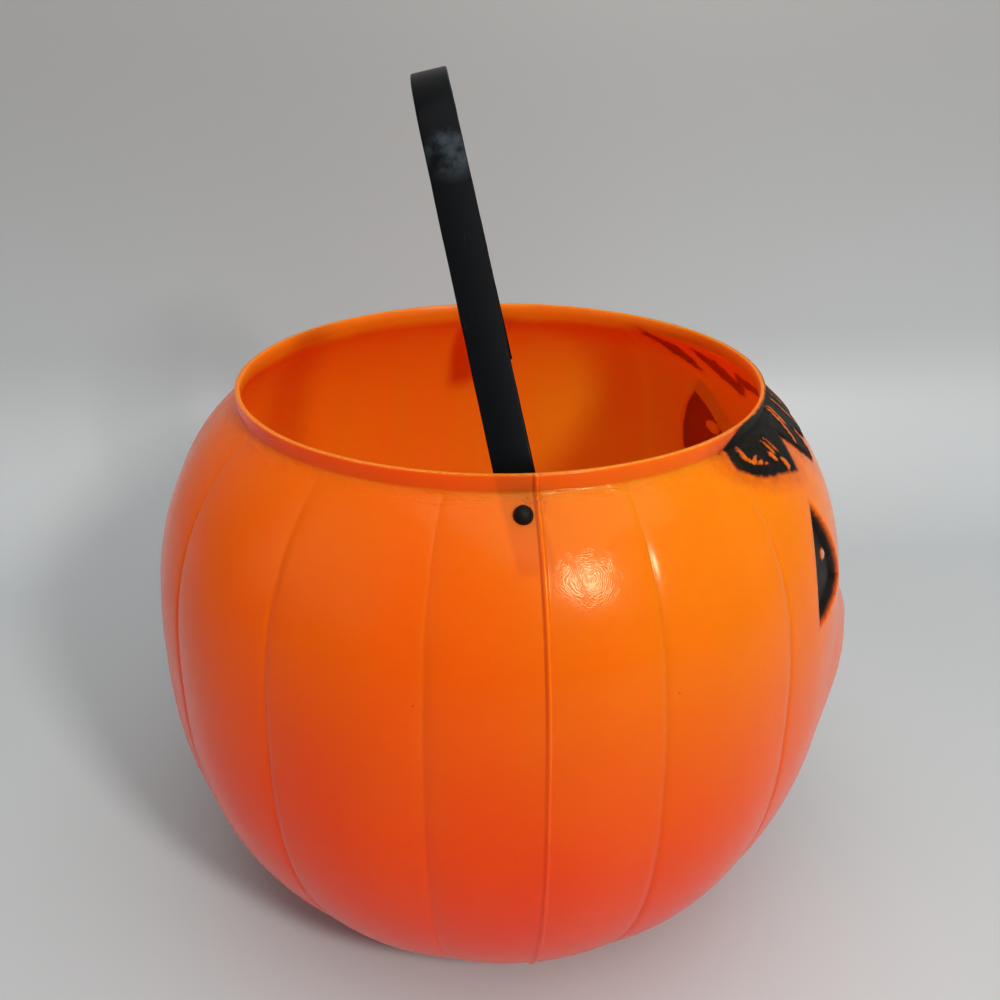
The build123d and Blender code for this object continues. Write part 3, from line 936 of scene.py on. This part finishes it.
def strap_tree():
    """Rounds the route's bends and sweeps the strap's rounded section along it."""
    tree, start, end = new_group(
        "strap_sweep",
        "GeometryNodeTree",
        [
            ("Geometry", "NodeSocketGeometry", None),
            ("Width", "NodeSocketFloat", 0.01),
            ("Thickness", "NodeSocketFloat", 0.001),
            ("Edge Radius", "NodeSocketFloat", 0.0002),
            ("Edge Wave", "NodeSocketFloat", 0.0),
            ("Finish", "NodeSocketMaterial", None),
        ],
        [("Geometry", "NodeSocketGeometry")],
    )
    size = start.outputs
    route = put(tree, "GeometryNodeMeshToCurve", {0: size["Geometry"]}).outputs[0]
    bends = {"Curve": route, "Count": 24, "Radius": layer(tree, "bend")}
    rounded = put(tree, "GeometryNodeFilletCurve", bends, mode="POLY").outputs[0]
    spaced = {"Curve": rounded, "Length": 0.0012}
    even = put(tree, "GeometryNodeResampleCurve", spaced, mode="LENGTH").outputs[0]
    turned = put(tree, "GeometryNodeSetCurveNormal", (even,), mode="MINIMUM_TWIST").outputs[0]
    sides = (size["Thickness"], size["Width"])
    section = put(tree, "GeometryNodeCurvePrimitiveQuadrilateral", sides).outputs[0]
    corners = {"Curve": section, "Count": 4, "Radius": size["Edge Radius"]}
    section = put(tree, "GeometryNodeFilletCurve", corners, mode="POLY").outputs[0]
    sweep = {"Curve": turned, "Profile Curve": section, "Fill Caps": True}
    swept = put(tree, "GeometryNodeCurveToMesh", sweep).outputs[0]
    place = put(tree, "GeometryNodeInputPosition").outputs[0]
    wander = reckon(tree, "SUBTRACT", noise(tree, place, 70.0, 2.0), 0.5)
    wander = times(tree, wander, size["Edge Wave"])
    shift = put(tree, "ShaderNodeCombineXYZ", (0.0, wander, 0.0)).outputs[0]
    moved = put(tree, "GeometryNodeSetPosition", {"Geometry": swept, "Offset": shift}).outputs[0]
    tree.links.new(coat(tree, moved, size["Finish"]), end.inputs[0])
    return tree


def strap_route():
    """Line down the strap's middle: upright ends, leaning legs and where the legs would meet."""
    across = STRAP_OUTSIDE - STRAP_THICKNESS / 2
    top_rise = HANDLE_RISE - HANDLE_TOP_RADIUS - LEG_UPRIGHT
    lean = atan2(across, top_rise) - asin(HANDLE_TOP_RADIUS / hypot(across, top_rise))
    leg = [(across, LEG_UPRIGHT), (across, -STRAP_TAIL)]
    corners = [(-out, up) for out, up in reversed(leg)]
    corners += [(0, LEG_UPRIGHT + across / tan(lean))] + leg
    tilt = Matrix.Rotation(radians(-PIVOT_TURN), 3, "Z")
    tilt = tilt @ Matrix.Rotation(radians(-HANDLE_LEAN), 3, "X")
    points = [PIVOT + tilt @ Vector((out, 0, up)) for out, up in corners]
    mesh = bpy.data.meshes.new("strap_route")
    mesh.from_pydata(points, [(index, index + 1) for index in range(4)], [])
    bends = [0, LEG_BEND_RADIUS, HANDLE_TOP_RADIUS, LEG_BEND_RADIUS, 0]
    mesh.attributes.new("bend", "FLOAT", "POINT").data.foreach_set("value", bends)
    return mesh


def make_strap():
    piece = run_tree(
        "strap",
        strap_route(),
        strap_tree(),
        width=STRAP_WIDTH,
        thickness=STRAP_THICKNESS,
        edge_radius=STRAP_EDGE_RADIUS,
        edge_wave=0.0003,
        finish=strap_plastic(),
    )
    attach(piece, "handle")
    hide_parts("handle_strap")


# Studs


def stud_profile():
    """Line of a stud from the dome's tip inwards: distance along the pivot line and radius."""
    wall = float((crown(np.array(PIVOT.z)) ** 2 - PIVOT.y**2) ** 0.5)
    dome = [
        (wall + HEAD_RADIUS * cos(turn), HEAD_RADIUS * sin(turn))
        for turn in np.linspace(*DOME_TURNS)
    ]
    return dome + [
        (wall - NECK_START, SHANK_RADIUS),
        (wall - NECK_END, SHANK_RADIUS),
        (wall - SHOULDER_START, SHOULDER_RADIUS),
        (STRAP_OUTSIDE + STUD_PLAY, SHOULDER_RADIUS),
        (STRAP_OUTSIDE + STUD_PLAY, SHANK_RADIUS),
        (STRAP_INSIDE - STUD_PLAY, SHANK_RADIUS),
        (STRAP_INSIDE - STUD_PLAY, SHOULDER_RADIUS),
        (STRAP_INSIDE - TAIL_EDGE, SHOULDER_RADIUS),
        (STRAP_INSIDE - TAIL_END, SHOULDER_RADIUS - TAIL_CHAMFER),
        (STRAP_INSIDE - TAIL_END, TAIL_MIDDLE),
    ]


def stud_mesh():
    """Turned stud about the pivot line, at the middle of the pail."""
    ring = [2 * pi * step / STUD_SIDES for step in range(STUD_SIDES)]
    points = [
        (along, radius * cos(turn), radius * sin(turn))
        for along, radius in stud_profile()
        for turn in ring
    ]
    faces = []
    for row in range(0, len(points) - STUD_SIDES, STUD_SIDES):
        for step in range(STUD_SIDES):
            here, after = row + step, row + (step + 1) % STUD_SIDES
            faces.append((here, here + STUD_SIDES, after + STUD_SIDES, after))
    faces.append(tuple(range(STUD_SIDES)))
    faces.append(tuple(reversed(range(len(points) - STUD_SIDES, len(points)))))
    mesh = bpy.data.meshes.new("stud_turning")
    mesh.from_pydata(points, [], faces)
    return mesh


def stud_tree():
    """Sets one turned stud at each end of the pivot line, the second facing the other way."""
    tree, start, end = new_group(
        "stud_pair",
        "GeometryNodeTree",
        [
            ("Geometry", "NodeSocketGeometry", None),
            ("Back", "NodeSocketFloat", 0.0),
            ("Rise", "NodeSocketFloat", 0.0),
            ("Turn", "NodeSocketFloat", 0.0),
            ("Finish", "NodeSocketMaterial", None),
        ],
        [("Geometry", "NodeSocketGeometry")],
    )
    size = start.outputs
    middle = put(tree, "ShaderNodeCombineXYZ", (0.0, size["Back"], size["Rise"])).outputs[0]
    doubled = {"Count": 2, "Start Location": middle, "Offset": (0, 0, 0)}
    pair = put(tree, "GeometryNodeMeshLine", doubled).outputs[0]
    index = put(tree, "GeometryNodeInputIndex").outputs[0]
    about = reckon(tree, "MULTIPLY_ADD", index, pi, size["Turn"])
    turn = put(tree, "ShaderNodeCombineXYZ", (0.0, 0.0, about)).outputs[0]
    set_out = {"Points": pair, "Instance": size["Geometry"], "Rotation": turn}
    spread = put(tree, "GeometryNodeInstanceOnPoints", set_out).outputs[0]
    tree.links.new(coat(tree, spread, size["Finish"]), end.inputs[0])
    return tree


def make_studs():
    piece = run_tree(
        "studs",
        stud_mesh(),
        stud_tree(),
        back=PIVOT.y,
        rise=PIVOT.z,
        turn=radians(-PIVOT_TURN),
        finish=stud_plastic(),
    )
    piece.data.set_sharp_from_angle(angle=radians(50))
    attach(piece, "pail")
    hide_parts("left_rivet", "right_rivet")


# Studio


def sweep_paper():
    """Pale paper with painted shade that greys it up the wall, seen from its front only."""
    material, tree, shader, place = new_material("sweep_paper")
    paper = blend_colours(tree, noise(tree, place, 4.0, 2.0), srgb("B1B5B6"), srgb("B9BDBE"))
    # Painted shade: the paper turns greyer up the wall.
    rise = ease(tree, apart(tree, place)["Z"], 0.03, 0.26)
    paper = blend_colours(tree, rise, paper, srgb("9E9E9D"))
    tree.links.new(paper, shader.inputs["Base Color"])
    shader.inputs["Roughness"].default_value = 0.45
    behind = put(tree, "ShaderNodeNewGeometry").outputs["Backfacing"]
    clear = put(tree, "ShaderNodeBsdfTransparent").outputs[0]
    shown = put(tree, "ShaderNodeMixShader", (behind, shader.outputs[0], clear)).outputs[0]
    tree.links.new(shown, tree.nodes["Material Output"].inputs["Surface"])
    return material


def make_sweep():
    """Floor that curves up into a back wall, and a wide floor round it."""
    line = [(SWEEP_FRONT, 0.0), (CURVE_START, 0.0)]
    line += [
        (CURVE_START + CURVE_RADIUS * sin(turn), CURVE_RADIUS - CURVE_RADIUS * cos(turn))
        for turn in np.linspace(0.1, pi / 2, 12)
    ]
    line += [(CURVE_START + CURVE_RADIUS, SWEEP_TOP)]
    edges = (-SWEEP_HALF_WIDTH, SWEEP_HALF_WIDTH)
    points = [(along, side, up) for along, up in line for side in edges]
    faces = [(row, row + 2, row + 3, row + 1) for row in range(0, len(points) - 2, 2)]
    sweep = bpy.data.meshes.new("studio_sweep")
    sweep.from_pydata(points, [], faces)
    sweep.shade_smooth()
    corners = [
        (across * FLOOR_HALF, along * FLOOR_HALF, FLOOR_LEVEL)
        for across, along in ((-1, -1), (1, -1), (1, 1), (-1, 1))
    ]
    ground = bpy.data.meshes.new("studio_floor")
    ground.from_pydata(corners, [], [(0, 1, 2, 3)])
    material = sweep_paper()
    for mesh in (sweep, ground):
        mesh.materials.append(material)
        piece = bpy.data.objects.new(mesh.name, mesh)
        scene.collection.objects.link(piece)


def make_light(name, place, size, power, target=(0, 0, 0.1), tint=(1, 1, 1)):
    lamp = bpy.data.lights.new(name, "AREA")
    lamp.shape = "RECTANGLE"
    lamp.size, lamp.size_y = size
    lamp.energy = power
    lamp.color = tint
    holder = bpy.data.objects.new(name, lamp)
    holder.location = place
    ahead = Vector(target) - holder.location
    holder.rotation_euler = ahead.to_track_quat("-Z", "Y").to_euler()
    scene.collection.objects.link(holder)


def make_lights():
    """Dim air that looks paler than it lights, a small window, and three broad soft lights."""
    world = bpy.data.worlds.new("studio_air")
    world.use_nodes = True
    tree = world.node_tree
    air = tree.nodes["Background"]
    air.inputs["Color"].default_value = AIR_COLOUR
    rays = put(tree, "ShaderNodeLightPath").outputs
    seen = reckon(tree, "MAXIMUM", rays["Is Camera Ray"], rays["Is Glossy Ray"])
    seen = reckon(tree, "MAXIMUM", seen, rays["Is Transmission Ray"])
    strength = reckon(tree, "MULTIPLY_ADD", seen, AIR_SEEN, AIR_LIGHT)
    tree.links.new(strength, air.inputs["Strength"])
    scene.world = world
    window_place, window_tint = (-0.82, -0.385, 0.707), (1, 0.98, 0.94)
    make_light("window", window_place, (0.13, 0.165), 7.6, FINGER_MARK, window_tint)
    make_light("curtain", (-0.95, -0.42, 0.82), (0.9, 0.9), 1.4)
    make_light("far_side", (-0.5, 0.95, 0.75), (1.0, 1.0), 1.6)
    make_light("ceiling", (-0.25, -0.15, 1.25), (1.2, 1.2), 9.0)


def make_camera():
    camera = bpy.data.cameras.new("camera")
    camera.lens = CAMERA_LENS
    camera.sensor_width = CAMERA_SENSOR
    holder = bpy.data.objects.new("camera", camera)
    holder.location = CAMERA_PLACE
    level = cos(CAMERA_DOWN)
    ahead = Vector((level * cos(CAMERA_ASIDE), -level * sin(CAMERA_ASIDE), -sin(CAMERA_DOWN)))
    holder.rotation_euler = ahead.to_track_quat("-Z", "Y").to_euler()
    scene.collection.objects.link(holder)
    scene.camera = holder


make_camera()
make_pail()
make_strap()
make_studs()
make_sweep()
make_lights()
